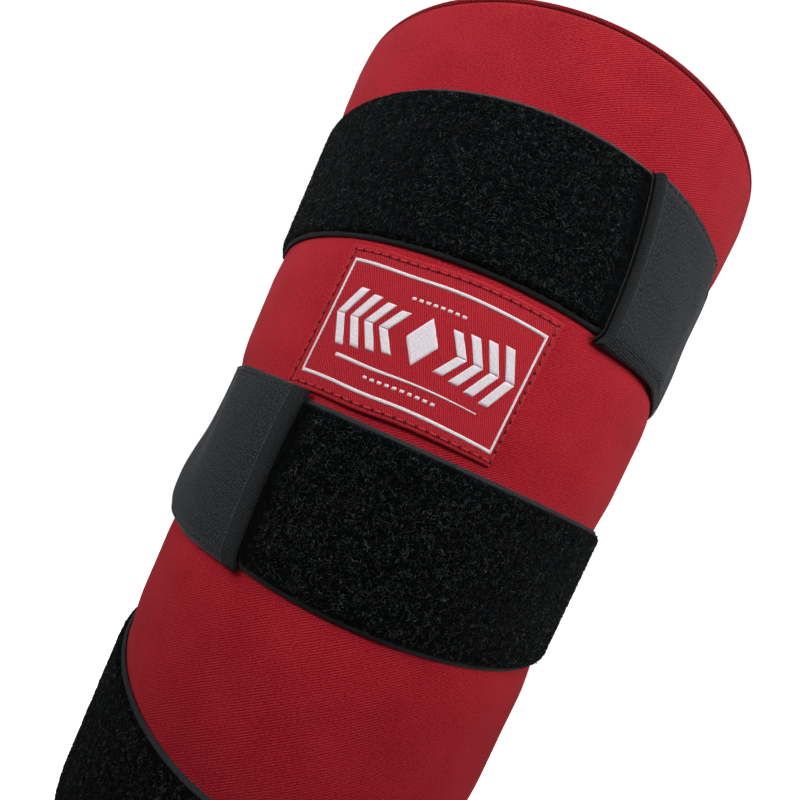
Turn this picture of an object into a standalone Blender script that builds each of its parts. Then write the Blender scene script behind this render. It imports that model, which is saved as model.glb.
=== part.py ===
"""A forearm guard for martial arts: a padded pull-on sleeve with three hook-and-loop straps.

Metres, +Z up along the forearm, from the wrist hem at z = 0 to the elbow. The closure side faces -Y and
the padded strike face +Y. Angles are in degrees round the sleeve, from the middle of the closure side
and positive towards +X. An offset is measured outwards from the outer face of the rear panel.
"""

import math
from collections import namedtuple

import bmesh
import bpy
from mathutils import Vector

# The sleeve is a cone. The radii are those of the outer face of its fabric.
LENGTH = 0.240
WRIST_RADIUS = 0.0423
ELBOW_RADIUS = 0.0610
SEAM_ANGLE = 95.0
STEP = 5.0

# Layers of the wall, and the clearance that keeps them apart.
GAP = 0.0003
FABRIC = 0.0010
FOAM = 0.0035
LINER = 0.0008
FOAM_OUT = -FABRIC - GAP
FOAM_IN = FOAM_OUT - FOAM
LINER_OUT = FOAM_IN - GAP
LINER_IN = LINER_OUT - LINER

# Folded binding round each end.
BINDING = 0.0010
BINDING_OUTER_LEG = 0.004
BINDING_INNER_LEG = 0.010
BINDING_ROUND = 0.0004
EDGE = BINDING + GAP

# Three foam bars on the strike face. Angles here are from the middle of that face.
PAD_COUNT = 3
PAD_SPAN = 44.0
PAD_NARROW = 1.5
PAD_HEIGHT = 0.0065
PAD_LOWEST = 0.0012
PAD_END = 0.024
PAD_FADE = 7.0
PAD_ROWS = 14
PAD_COLUMNS = 8
COVER_ROWS = 30
COVER_COLUMNS = 60

# Loop bands, from the wrist up. A band's edges rise by the given amounts a quarter turn from its middle.
BAND_WIDTH = 0.038
BAND_THICKNESS = 0.0016
BAND_UNDERLAP = 50.0
BAND_OFFSET = GAP

# Straps, each coming round from its own side and lying on its loop band.
STRAP_THICKNESS = 0.0012
STRAP_OVERHANG = 0.0008
ROOT_SPAN = 9.0
HINGE_ANGLE = 96.5
HEM_WIDTH = 0.0058
HOOK_END_ANGLE = 48.0
HOOK_THICKNESS = 0.0008
HOOK_OFFSET = BAND_OFFSET + BAND_THICKNESS + GAP
STRAP_HIGH = HOOK_OFFSET + HOOK_THICKNESS + GAP
STRAP_LOW = GAP
CLIMB_FROM = 63.0
CLIMB_TO = 52.0
HEM_EXTRA = 0.0002

Band = namedtuple("Band", "name bottom bottom_rise top_rise lean side end_angle")
BANDS = (
    Band("wrist", 0.0210, 0.0150, 0.0155, -0.0040, 1, 24.5),
    Band("middle", 0.0984, 0.0105, 0.0055, 0.0, -1, 25.2),
    Band("elbow", 0.1743, 0.0, -0.0018, 0.0, 1, 23.7),
)

# Woven label between the middle and the elbow band.
LABEL_WIDTH = 0.050
LABEL_HEIGHT = 0.0336
LABEL_BOTTOM = 0.1401
LABEL_ANGLE = -7.6
LABEL_THICKNESS = 0.0006

RED = (0.30, 0.015, 0.022)
DARK_RED = (0.20, 0.008, 0.012)
PILE_BLACK = (0.006, 0.007, 0.008)
STRAP_GREY = (0.032, 0.034, 0.037)
LINING_BLACK = (0.012, 0.012, 0.013)
FOAM_GREY = (0.22, 0.22, 0.23)


def material(name, colour, roughness):
    made = bpy.data.materials.new(name)
    made.use_nodes = True
    shader = made.node_tree.nodes["Principled BSDF"]
    shader.inputs["Base Color"].default_value = (*colour, 1.0)
    shader.inputs["Roughness"].default_value = roughness
    shader.inputs["Metallic"].default_value = 0.0
    return made


def make_materials():
    return {
        "twill": material("red_twill", RED, 0.85),
        "binding": material("dark_red_tape", DARK_RED, 0.8),
        "pile": material("black_loop_pile", PILE_BLACK, 0.95),
        "strap": material("grey_strap_fabric", STRAP_GREY, 0.6),
        "hook": material("black_hook_tape", LINING_BLACK, 0.7),
        "lining": material("black_lining", LINING_BLACK, 0.8),
        "foam": material("grey_foam", FOAM_GREY, 0.9),
    }


def clear_scene():
    for obj in list(bpy.data.objects):
        bpy.data.objects.remove(obj, do_unlink=True)


def smoothstep(start, end, value):
    share = min(max((value - start) / (end - start), 0.0), 1.0)
    return share * share * (3.0 - 2.0 * share)


def mix(a, b, share):
    return a + (b - a) * share


def radius(z):
    return mix(WRIST_RADIUS, ELBOW_RADIUS, z / LENGTH)


def on_wall(angle, z, offset):
    """The point at this angle and height, offset outwards from the sleeve's outer face."""
    turn = math.radians(angle)
    reach = radius(z) + offset
    return Vector((reach * math.sin(turn), -reach * math.cos(turn), z))


def arc_angle(length, z):
    return math.degrees(length / radius(z))


def columns(start, end):
    return max(1, math.ceil(abs(end - start) / STEP))


def add_object(name, mesh, look, collection, origin=None):
    mesh.materials.append(look)
    if origin is not None:
        for vertex in mesh.vertices:
            vertex.co -= origin
    obj = bpy.data.objects.new(name, mesh)
    if origin is not None:
        obj.location = origin
    collection.objects.link(obj)
    mesh.shade_smooth()
    mesh.set_sharp_from_angle(angle=math.radians(40.0))
    return obj


def curved_slab(name, across, rows, shape, look, collection, origin=None):
    """A box cut into a grid and bent by shape(u, v, w), where w runs from 0 inside to 1 outside."""
    box = bmesh.new()
    bmesh.ops.create_cube(box, size=1.0)
    for axis, cuts in ((0, across - 1), (2, rows - 1)):
        if cuts < 1:
            continue
        along = [e for e in box.edges if abs(e.verts[0].co[axis] - e.verts[1].co[axis]) > 0.5]
        bmesh.ops.subdivide_edges(box, edges=along, cuts=cuts, use_grid_fill=True)
    for vertex in box.verts:
        u, depth, v = (value + 0.5 for value in vertex.co)
        vertex.co = shape(u, v, 1.0 - depth)
    if box.calc_volume(signed=True) < 0.0:
        bmesh.ops.reverse_faces(box, faces=box.faces)
    mesh = bpy.data.meshes.new(name)
    box.to_mesh(mesh)
    box.free()
    return add_object(name, mesh, look, collection, origin)


def turned_ring(name, profile, look, collection):
    """A closed outline of (offset, z) pairs turned right round the sleeve's axis."""
    mesh = bpy.data.meshes.new(name)
    points = [(radius(z) + offset, 0.0, z) for offset, z in profile]
    edges = [(i, (i + 1) % len(points)) for i in range(len(points))]
    mesh.from_pydata(points, edges, [])
    obj = add_object(name, mesh, look, collection)
    screw = obj.modifiers.new("turn", "SCREW")
    screw.axis = "Z"
    screw.steps = round(360.0 / STEP)
    screw.render_steps = screw.steps
    screw.use_merge_vertices = True
    screw.merge_threshold = 0.00005
    return obj


# The strike face's outer shape.


def bar_crown(face_angle):
    """1 on top of a bar, less in the channels, 0 past the outermost bars."""
    half = PAD_COUNT * PAD_SPAN / 2.0
    beyond = abs(face_angle) - half
    if beyond >= 0.0:
        return PAD_LOWEST / PAD_HEIGHT * (1.0 - smoothstep(0.0, PAD_FADE, beyond))
    across = (face_angle / PAD_SPAN + PAD_COUNT / 2.0) % 1.0
    dome = math.sqrt(1.0 - abs(2.0 * across - 1.0) ** 3.0)
    return mix(PAD_LOWEST / PAD_HEIGHT, 1.0, dome)


def end_fade(z):
    """1 over the bars' length, falling to 0 under the bindings."""
    edge = EDGE + BINDING_INNER_LEG
    return smoothstep(edge, edge + PAD_END, z) * smoothstep(LENGTH - edge, LENGTH - edge - PAD_END, z)


def front_offset(angle, z):
    return PAD_HEIGHT * bar_crown(angle - 180.0) * end_fade(z)


# Sleeve.


def layer(name, start, end, inner, outer, look, collection):
    """One plain layer of the wall between two angles, over the full height inside the bindings."""

    def shape(u, v, w):
        return on_wall(mix(start, end, u), mix(EDGE, LENGTH - EDGE, v), mix(inner, outer, w))

    return curved_slab(name, columns(start, end), 1, shape, look, collection)


def seam_gap():
    return math.degrees(GAP / WRIST_RADIUS)


def build_rear(looks, collection):
    edge = SEAM_ANGLE - seam_gap()
    layer("rear_panel", -edge, edge, -FABRIC, 0.0, looks["twill"], collection)
    layer("rear_padding", -edge, edge, FOAM_IN, FOAM_OUT, looks["foam"], collection)


def build_front(looks, collection):
    start, end = SEAM_ANGLE, 360.0 - SEAM_ANGLE
    layer("front_padding", start, end, FOAM_IN, FOAM_OUT, looks["foam"], collection)

    def shape(u, v, w):
        angle = mix(start, end, u)
        z = mix(EDGE, LENGTH - EDGE, v)
        return on_wall(angle, z, front_offset(angle, z) - FABRIC * (1.0 - w))

    curved_slab("front_cover", COVER_COLUMNS, COVER_ROWS, shape, looks["twill"], collection)


def build_strike_pads(looks, collection):
    low = EDGE + BINDING_INNER_LEG + PAD_END * 0.5
    for index, side in enumerate(("right", "centre", "left")):
        middle = 180.0 + (index - (PAD_COUNT - 1) / 2.0) * PAD_SPAN
        half = PAD_SPAN / 2.0 - PAD_NARROW

        def shape(u, v, w):
            angle = middle + mix(-half, half, u)
            z = mix(low, LENGTH - low, v)
            top = front_offset(angle, z) - FABRIC - 2.0 * GAP
            return on_wall(angle, z, mix(-FABRIC, max(top, -FABRIC + GAP), w))

        name = f"strike_pad_{side}"
        curved_slab(name, PAD_COLUMNS, PAD_ROWS, shape, looks["foam"], collection)


def build_liner(looks, collection):
    low, high = EDGE, LENGTH - EDGE
    profile = [(LINER_OUT, high), (LINER_OUT, low), (LINER_IN, low), (LINER_IN, high)]
    turned_ring("inner_liner", profile, looks["lining"], collection)


def binding_profile(at, inward):
    """The U section that wraps an end at height at, with its legs running inward (+1 up, -1 down)."""
    outside = GAP + BINDING
    inside = LINER_IN - GAP - BINDING
    outer_leg = at + inward * BINDING_OUTER_LEG
    inner_leg = at + inward * BINDING_INNER_LEG
    floor = at + inward * BINDING
    rim = BINDING_ROUND
    points = [
        (outside, outer_leg),
        (outside, at + inward * rim),
        (outside - rim, at),
        (inside + rim, at),
        (inside, at + inward * rim),
        (inside, inner_leg),
        (inside + BINDING, inner_leg),
        (inside + BINDING, floor),
        (GAP, floor),
        (GAP, outer_leg),
    ]
    return points if inward > 0 else points[::-1]


def build_bindings(looks, collection):
    turned_ring("wrist_binding", binding_profile(0.0, 1), looks["binding"], collection)
    turned_ring("elbow_binding", binding_profile(LENGTH, -1), looks["binding"], collection)


# Bands and straps.


def band_height(band, angle, v, overhang=0.0):
    """The height at share v across the band, whose edges rise towards the sides."""
    turn = math.radians(angle)
    rise = 1.0 - math.cos(turn)
    lean = band.lean * math.sin(turn)
    bottom = band.bottom + band.bottom_rise * rise + lean - overhang
    top = band.bottom + BAND_WIDTH + band.top_rise * rise + lean + overhang
    return mix(bottom, top, v)


def strap_offset(angle):
    """The offset of a strap's inner face: low beside its root, high over its hook patch."""
    return mix(STRAP_LOW, STRAP_HIGH, smoothstep(CLIMB_FROM, CLIMB_TO, abs(angle)))


def strip(name, band, start, end, inner, outer, look, collection, overhang=0.0, origin=None):
    """A strip along a band from one angle to another, both given for a strap that comes from +X."""

    def shape(u, v, w):
        angle = mix(start, end, u) * band.side
        return on_wall(angle, band_height(band, angle, v, overhang), mix(inner(angle), outer(angle), w))

    return curved_slab(name, columns(start, end), 1, shape, look, collection, origin)


def hinge_point(band):
    angle = HINGE_ANGLE * band.side
    return on_wall(angle, band_height(band, angle, 0.5), STRAP_LOW + STRAP_THICKNESS)


def build_loop_band(band, looks, collection):
    strip(
        f"{band.name}_loop_band",
        band,
        -SEAM_ANGLE + seam_gap(),
        BAND_UNDERLAP,
        lambda angle: BAND_OFFSET,
        lambda angle: BAND_OFFSET + BAND_THICKNESS,
        looks["pile"],
        collection,
    )


def build_strap(band, looks, collection):
    middle = band.bottom + BAND_WIDTH / 2.0
    clear = arc_angle(GAP, middle)
    hem_end = band.end_angle + arc_angle(HEM_WIDTH, middle)
    origin = hinge_point(band)

    def constant(value):
        return lambda angle: value

    strip(
        f"{band.name}_strap_root",
        band,
        HINGE_ANGLE + clear,
        HINGE_ANGLE + ROOT_SPAN,
        constant(STRAP_LOW),
        constant(STRAP_LOW + STRAP_THICKNESS),
        looks["strap"],
        collection,
        STRAP_OVERHANG,
    )
    strip(
        f"{band.name}_strap",
        band,
        hem_end + clear,
        HINGE_ANGLE,
        strap_offset,
        lambda angle: strap_offset(angle) + STRAP_THICKNESS,
        looks["strap"],
        collection,
        STRAP_OVERHANG,
        origin,
    )
    strip(
        f"{band.name}_strap_hem",
        band,
        band.end_angle,
        hem_end,
        constant(HOOK_OFFSET),
        constant(STRAP_HIGH + STRAP_THICKNESS + HEM_EXTRA),
        looks["strap"],
        collection,
        STRAP_OVERHANG,
        origin,
    )
    strip(
        f"{band.name}_hook_patch",
        band,
        hem_end + clear,
        HOOK_END_ANGLE,
        constant(HOOK_OFFSET),
        constant(HOOK_OFFSET + HOOK_THICKNESS),
        looks["hook"],
        collection,
        -2.0 * STRAP_OVERHANG,
        origin,
    )


def build_label(looks, collection):
    half = arc_angle(LABEL_WIDTH, LABEL_BOTTOM + LABEL_HEIGHT / 2.0) / 2.0

    def shape(u, v, w):
        angle = LABEL_ANGLE + mix(-half, half, u)
        return on_wall(angle, LABEL_BOTTOM + LABEL_HEIGHT * v, GAP + LABEL_THICKNESS * w)

    curved_slab("woven_label", columns(-half, half), 1, shape, looks["twill"], collection)


def main():
    clear_scene()
    looks = make_materials()
    guard = bpy.data.collections.new("forearm_guard")
    bpy.context.scene.collection.children.link(guard)
    build_rear(looks, guard)
    build_front(looks, guard)
    build_strike_pads(looks, guard)
    build_liner(looks, guard)
    build_bindings(looks, guard)
    for band in BANDS:
        build_loop_band(band, looks, guard)
        build_strap(band, looks, guard)
    build_label(looks, guard)


main()
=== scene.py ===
"""The looks of the forearm guard: red twill, loop bands, straps, woven label, padded strike face.

Every length is in metres in the CAD's own frame: +Z from wrist to elbow, the closure side faces -Y.
Angles are in degrees round the sleeve from the middle of the closure side, positive towards +X.
"""

import math
from collections import namedtuple

import bpy
import numpy as np
from mathutils import Matrix, Vector, noise


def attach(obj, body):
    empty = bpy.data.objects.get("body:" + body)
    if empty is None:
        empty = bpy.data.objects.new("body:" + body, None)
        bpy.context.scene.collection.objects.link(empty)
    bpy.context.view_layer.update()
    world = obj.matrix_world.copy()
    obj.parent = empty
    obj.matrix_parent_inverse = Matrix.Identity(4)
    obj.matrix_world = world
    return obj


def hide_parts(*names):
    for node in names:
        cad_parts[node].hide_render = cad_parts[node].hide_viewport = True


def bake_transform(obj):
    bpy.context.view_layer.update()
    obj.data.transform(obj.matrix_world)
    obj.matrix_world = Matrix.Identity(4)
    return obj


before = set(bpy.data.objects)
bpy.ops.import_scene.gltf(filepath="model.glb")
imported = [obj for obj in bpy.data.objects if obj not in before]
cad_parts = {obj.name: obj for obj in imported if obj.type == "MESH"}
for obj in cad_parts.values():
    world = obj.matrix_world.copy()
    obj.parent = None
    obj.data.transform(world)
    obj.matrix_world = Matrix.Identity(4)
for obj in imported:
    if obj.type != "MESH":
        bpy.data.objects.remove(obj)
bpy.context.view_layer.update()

# The sleeve's cone and the places of what is on it, as in the CAD.
LENGTH = 0.240
WRIST_RADIUS = 0.0423
ELBOW_RADIUS = 0.0610
MEAN_RADIUS = 0.05
SEAM_ANGLE = 95.0
UNDERLAP = 50.0
ROOT_ANGLE = 105.5
STRAP_INNER_HIGH = 0.0020  # a strap's inner face over its band, and beside it
STRAP_INNER_LOW = -0.0009
STRAP_THICK = 0.0013
STRAP_STITCH_INSET = 0.0016
CLIMB = (63.0, 52.0)  # a strap climbs onto its band between these angles
HOOK_END = 48.0  # the angle at which the hook tape under a strap ends
LINER_OFFSET = -0.0059

# bottom and top: a band's edges at the middle of the closure side. The rises lift them round the sleeve,
# the leans tilt them. side: where its strap comes from. end_angle, bow and bow_at: the outline of the
# strap's end. low_over and high_over: how far the strap stands past the band's edges, at its end and far
# from it. hem and peep: the widths of the end's fold and of the hook tape that shows before it. belly: how
# far the strap bulges off the sleeve.
Band = namedtuple("Band", (
    "name bottom top bottom_rise top_rise lean top_lean side end_angle bow bow_at"
    " low_over high_over hem peep belly"
))
BANDS = (
    Band("wrist", bottom=0.0210, top=0.0581, bottom_rise=0.0150, top_rise=0.0147, lean=-0.0040,
         top_lean=-0.0040, side=1, end_angle=28.5, bow=5.0, bow_at=0.40, low_over=(0.0010, 0.0010),
         high_over=(0.0006, 0.0006), hem=0.0027, peep=0.0005, belly=0.0),
    Band("middle", bottom=0.0981, top=0.1364, bottom_rise=0.0102, top_rise=0.0055, lean=0.0,
         top_lean=0.0, side=-1, end_angle=28.9, bow=5.0, bow_at=0.48, low_over=(0.0009, 0.0023),
         high_over=(0.0015, 0.0016), hem=0.0030, peep=0.0002, belly=0.0030),
    Band("elbow", bottom=0.1751, top=0.2140, bottom_rise=0.0016, top_rise=-0.0018, lean=0.0005,
         top_lean=-0.0006, side=1, end_angle=27.8, bow=6.5, bow_at=0.10, low_over=(0.0023, 0.0011),
         high_over=(-0.0001, -0.0012), hem=0.0024, peep=0.0009, belly=0.0007),
)
# Between these angles, a strap's edges pass from their places at its end to those far from it.
STRAP_DRIFT = (27.0, 54.0)

# Corners of the label, of its stitching and of its border, counter-clockwise from the lower left. Each is
# an arc length from the middle of the closure side, and a height.
LABEL_CORNERS = ((-0.0345, 0.1387), (0.0161, 0.1387), (0.0183, 0.1733), (-0.0319, 0.1735))
STITCH_CORNERS = ((-0.0333, 0.1400), (0.0158, 0.1398), (0.0170, 0.1721), (-0.0305, 0.1722))
BORDER_CORNERS = ((-0.0310, 0.1428), (0.0148, 0.1416), (0.0157, 0.1687), (-0.0293, 0.1698))

# Camera, in the guard's frame.
CAMERA_PLACE = (0.0, -0.1854, 0.118)
CAMERA_YAW = math.radians(-2.9)
CAMERA_PITCH = math.radians(11.0)
CAMERA_ROLL = math.radians(24.65)
CAMERA_LENS = 29.5
SENSOR = 36.0


# Geometry of the sleeve.


def smoothstep(start, end, value):
    share = np.clip((value - start) / (end - start), 0.0, 1.0)
    return share * share * (3.0 - 2.0 * share)


def mix(a, b, share):
    return a + (b - a) * share


def radius(z):
    return mix(WRIST_RADIUS, ELBOW_RADIUS, z / LENGTH)


def on_wall(angle, z, offset):
    """Points at these angles and heights, offset outwards from the sleeve's outer face."""
    turn = np.radians(angle)
    reach = radius(z) + offset
    return np.stack(np.broadcast_arrays(reach * np.sin(turn), -reach * np.cos(turn), z), axis=-1)


def half_turns(angle):
    """The same angle between -180 and 180."""
    return np.mod(angle + 180.0, 360.0) - 180.0


def arc_angle(length, z):
    return np.degrees(length / radius(z))


def arc_length(angle, z):
    return np.radians(angle) * radius(z)


def band_edges(band, angle):
    turn = np.radians(angle)
    rise = 1.0 - np.cos(turn)
    low = band.bottom + band.bottom_rise * rise + band.lean * np.sin(turn)
    high = band.top + band.top_rise * rise + band.top_lean * np.sin(turn)
    return low, high


def band_height(band, angle, v, inset=0.0):
    low, high = band_edges(band, angle)
    return mix(low + inset, high - inset, v)


def strap_height(band, angle, v, inset=0.0):
    low, high = band_edges(band, angle)
    far = smoothstep(*STRAP_DRIFT, np.abs(angle))
    low = low - mix(*band.low_over, far) + inset
    high = high + mix(*band.high_over, far) - inset
    return mix(low, high, v)


def inside_strap(band, angle, z):
    """The distance in from the nearer long edge of the strap, negative outside it."""
    return np.minimum(z - strap_height(band, angle, 0.0), strap_height(band, angle, 1.0) - z)


def ripple(x, y, seed, octaves):
    """Smooth noise from -1 to 1 over arrays of points."""
    flat = [
        noise.fractal(Vector((float(a), float(b), seed)), 1.0, 2.0, octaves)
        for a, b in zip(np.ravel(x), np.ravel(y))
    ]
    return np.array(flat).reshape(np.shape(x))


# Mesh helpers.


def new_mesh(name, points, faces, look, uvs=None):
    """A mesh object from points and a list of face arrays, each of one number of corners."""
    points = np.asarray(points, np.float32)
    groups = [np.asarray(group, np.int32) for group in faces]
    corners = np.concatenate([group.ravel() for group in groups])
    sizes = np.concatenate([np.full(len(group), group.shape[1], np.int32) for group in groups])
    mesh = bpy.data.meshes.new(name)
    mesh.vertices.add(len(points))
    mesh.vertices.foreach_set("co", points.ravel())
    mesh.loops.add(len(corners))
    mesh.loops.foreach_set("vertex_index", corners)
    mesh.polygons.add(len(sizes))
    mesh.polygons.foreach_set("loop_start", np.cumsum(sizes) - sizes)
    mesh.update(calc_edges=True)
    if uvs is not None:
        layer = mesh.uv_layers.new(name="fabric")
        layer.data.foreach_set("uv", np.asarray(uvs, np.float32)[corners].ravel())
    mesh.shade_smooth()
    mesh.materials.append(look)
    obj = bpy.data.objects.new(name, mesh)
    bpy.context.scene.collection.objects.link(obj)
    return obj


def grid_quads(rows, columns, first=0, tube=False, ring=False):
    """Faces of a grid of points stored row by row.

    A tube's rows close on themselves. So do a ring's, and its last row joins its first.
    """
    r = np.arange(rows if ring else rows - 1)[:, None]
    c = np.arange(columns if tube or ring else columns - 1)[None, :]
    row, row_up = r * columns, (r + 1) % rows * columns
    right = (c + 1) % columns
    return np.stack([row + c, row + right, row_up + right, row_up + c], axis=-1).reshape(-1, 4) + first


def slab(name, outer, inner, uv, look, flip=False):
    """A closed sheet between two grids of points of the same size, sharing no points."""
    rows, columns = outer.shape[:2]
    count = rows * columns
    quads = [grid_quads(rows, columns), grid_quads(rows, columns, count)[:, ::-1]]
    ring = np.concatenate([
        np.arange(columns),
        np.arange(1, rows) * columns + columns - 1,
        (rows - 1) * columns + np.arange(columns - 2, -1, -1),
        np.arange(rows - 2, 0, -1) * columns,
    ])
    after = np.roll(ring, -1)
    quads.append(np.stack([ring, ring + count, after + count, after], axis=-1))
    faces = np.concatenate(quads)
    if flip:
        faces = faces[:, ::-1]
    points = np.concatenate([outer.reshape(-1, 3), inner.reshape(-1, 3)])
    uvs = np.concatenate([uv.reshape(-1, 2)] * 2)
    return new_mesh(name, points, [faces], look, uvs)


def rounded(distance, reach, drop):
    """How far a surface falls at this distance from its edge, for an edge rounded over reach."""
    share = np.clip(1.0 - distance / reach, 0.0, 1.0)
    return drop * (1.0 - np.sqrt(1.0 - share * share))


def edge_share(v):
    """How far a share from 0 to 1 is from the nearer of the two."""
    return np.minimum(v, 1.0 - v)


def edge_distance(u, v, width, height):
    return np.minimum(edge_share(u) * width, edge_share(v) * height)


def uv_grid(columns, rows):
    return np.meshgrid(np.linspace(0.0, 1.0, columns), np.linspace(0.0, 1.0, rows))


# Materials.

WHITE = (1.0, 1.0, 1.0)
BLACK = (0.0, 0.0, 0.0)


class Nodes:
    """A short way to wire a material's nodes."""

    def __init__(self, name):
        self.look = bpy.data.materials.new(name)
        self.look.use_nodes = True
        self.tree = self.look.node_tree
        self.shader = self.tree.nodes["Principled BSDF"]

    def add(self, kind, **settings):
        node = self.tree.nodes.new(kind)
        for key, value in settings.items():
            setattr(node, key, value)
        return node

    def feed(self, socket, value):
        if isinstance(value, bpy.types.NodeSocket):
            self.tree.links.new(value, socket)
        else:
            socket.default_value = value

    def math(self, operation, a, b=0.0, c=0.0):
        node = self.add("ShaderNodeMath", operation=operation)
        for socket, value in zip(node.inputs, (a, b, c)):
            self.feed(socket, value)
        return node.outputs[0]

    def fabric_place(self):
        """(u, v) of the cloth in metres."""
        node = self.add("ShaderNodeUVMap", uv_map="fabric")
        split = self.add("ShaderNodeSeparateXYZ")
        self.feed(split.inputs[0], node.outputs[0])
        return node.outputs[0], split.outputs[0], split.outputs[1]

    def noise(self, place, scale, detail=2.0, roughness=0.5):
        node = self.add("ShaderNodeTexNoise")
        self.feed(node.inputs["Vector"], place)
        for key, value in (("Scale", scale), ("Detail", detail), ("Roughness", roughness)):
            node.inputs[key].default_value = value
        return node.outputs["Fac"]

    def object_place(self):
        return self.add("ShaderNodeTexCoord").outputs["Object"]

    def combine(self, x, y):
        node = self.add("ShaderNodeCombineXYZ")
        self.feed(node.inputs[0], x)
        self.feed(node.inputs[1], y)
        return node.outputs[0]

    def ramp(self, value, *stops):
        node = self.add("ShaderNodeValToRGB")
        ramp = node.color_ramp
        for element, (place, colour) in zip(ramp.elements, (stops[0], stops[-1])):
            element.position = place
            element.color = (*colour, 1.0)
        for place, colour in stops[1:-1]:
            ramp.elements.new(place).color = (*colour, 1.0)
        self.feed(node.inputs[0], value)
        return node.outputs[0]

    def mix(self, share, a, b):
        """A colour mix. A Mix node's colour sockets come after those for numbers and vectors."""
        node = self.add("ShaderNodeMix", data_type="RGBA")
        self.feed(node.inputs[0], share)
        self.feed(node.inputs[6], a)
        self.feed(node.inputs[7], b)
        return node.outputs[2]

    def wave(self, along, pitch):
        """A sine from 0 to 1 with this pitch along a length in metres."""
        turns = self.math("MULTIPLY", along, 2.0 * math.pi / pitch)
        return self.math("MULTIPLY_ADD", self.math("SINE", turns), 0.5, 0.5)

    def bump(self, height, distance, strength=1.0):
        node = self.add("ShaderNodeBump")
        node.inputs["Strength"].default_value = strength
        node.inputs["Distance"].default_value = distance
        self.feed(node.inputs["Height"], height)
        self.feed(self.shader.inputs["Normal"], node.outputs[0])

    def finish(self, colour, roughness, sheen=0.0, sheen_tint=WHITE, sheen_rough=0.4, specular=0.3):
        put = self.shader.inputs
        self.feed(put["Base Color"], colour if isinstance(colour, bpy.types.NodeSocket) else (*colour, 1.0))
        self.feed(put["Roughness"], roughness)
        self.feed(put["Sheen Weight"], sheen)
        self.feed(put["Sheen Roughness"], sheen_rough)
        self.feed(put["Sheen Tint"], (*sheen_tint, 1.0))
        self.feed(put["Specular IOR Level"], specular)
        return self.look


RED_DARK = (0.190, 0.0030, 0.0080)
RED = (0.330, 0.0075, 0.0165)
RED_LIGHT = (0.450, 0.0240, 0.0350)
RIB_PITCH = 0.00043
RIB_SLOPE = 22.0
PILE_BLACK = (0.0005, 0.0007, 0.0009)
TWILL_PITCH = 0.000513
TWILL_SLOPE = math.radians(33.0)


def twill(name, dark=RED_DARK, middle=RED, light=RED_LIGHT):
    """Cotton twill: slanting ribs, broken up along their length by the yarns, and a little fluff."""
    n = Nodes(name)
    place, u, v = n.fabric_place()
    across = n.math("MULTIPLY_ADD", u, -math.sin(TWILL_SLOPE), n.math("MULTIPLY", v, math.cos(TWILL_SLOPE)))
    along = n.math("MULTIPLY_ADD", v, math.sin(TWILL_SLOPE), n.math("MULTIPLY", u, math.cos(TWILL_SLOPE)))
    wander = n.math("MULTIPLY", n.noise(place, 1100.0, 2.0), 0.00024)
    rib = n.wave(n.math("ADD", across, wander), TWILL_PITCH)
    bead = n.noise(n.combine(along, n.math("MULTIPLY", across, 2.0)), 1700.0, 2.0, 0.6)
    speck = n.noise(place, 3600.0, 2.0, 0.7)
    blotch = n.noise(place, 75.0, 3.0, 0.6)
    strength = n.math("MULTIPLY_ADD", n.noise(place, 170.0, 2.0), 1.00, 0.06)
    tone = n.math("MULTIPLY", n.math("SUBTRACT", rib, 0.5), strength)
    for part, share in ((bead, 1.50), (speck, 1.20), (blotch, 0.40)):
        tone = n.math("MULTIPLY_ADD", n.math("SUBTRACT", part, 0.5), share, tone)
    tone = n.math("ADD", tone, 0.5)
    colour = n.ramp(tone, (0.15, dark), (0.5, middle), (0.90, light))
    fluff = n.ramp(n.noise(place, 1300.0, 3.0, 0.75), (0.68, BLACK), (0.80, WHITE))
    colour = n.mix(n.math("MULTIPLY", fluff, 0.12), colour, (0.55, 0.12, 0.14, 1.0))
    n.bump(n.math("MULTIPLY_ADD", rib, 0.35, n.math("MULTIPLY", bead, 0.5)), 0.00012, 0.8)
    return n.finish(colour, 0.9, sheen=0.075, sheen_tint=(1.0, 0.70, 0.70), sheen_rough=0.5, specular=0.08)


def pile(name):
    """Brushed loops seen as dark clumps with paler strands between, with a painted shadow beside the strap's
    end.
    """
    n = Nodes(name)
    place = n.object_place()
    before_strap = n.math("MULTIPLY_ADD", n.fabric_place()[1], 100.0, 0.5)
    # Painted shadow: the pile goes to PILE_BLACK in a strip just before the strap's end, standing in for the
    # shade cast by the raised hem.
    before_strap = n.math("MULTIPLY_ADD", n.noise(place, 500.0), 0.24, n.math("SUBTRACT", before_strap, 0.12))
    free = n.ramp(before_strap, (0.25, WHITE), (0.45, BLACK), (0.58, BLACK), (0.96, WHITE))
    clump = n.noise(place, 640.0, 3.0, 0.65)
    speck = n.noise(place, 1900.0, 3.0, 0.75)
    tone = n.math("MULTIPLY_ADD", clump, 0.45, n.math("MULTIPLY", speck, 0.55))
    colour = n.ramp(tone, (0.43, PILE_BLACK), (0.56, (0.0022, 0.0026, 0.0030)), (0.68, (0.044, 0.048, 0.051)))
    colour = n.mix(free, (*PILE_BLACK, 1.0), colour)
    n.bump(tone, 0.0005, 1.0)
    return n.finish(colour, 0.95, sheen=0.03, sheen_tint=(0.88, 0.96, 1.0), sheen_rough=0.5, specular=0.015)


def fibre(name):
    n = Nodes(name)
    tone = n.noise(n.object_place(), 900.0, 3.0, 0.75)
    colour = n.ramp(tone, (0.42, PILE_BLACK), (0.54, (0.0060, 0.0068, 0.0072)), (0.68, (0.078, 0.085, 0.089)))
    return n.finish(colour, 0.85, sheen=0.07, sheen_tint=(0.9, 0.96, 1.0), sheen_rough=0.5, specular=0.08)


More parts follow.
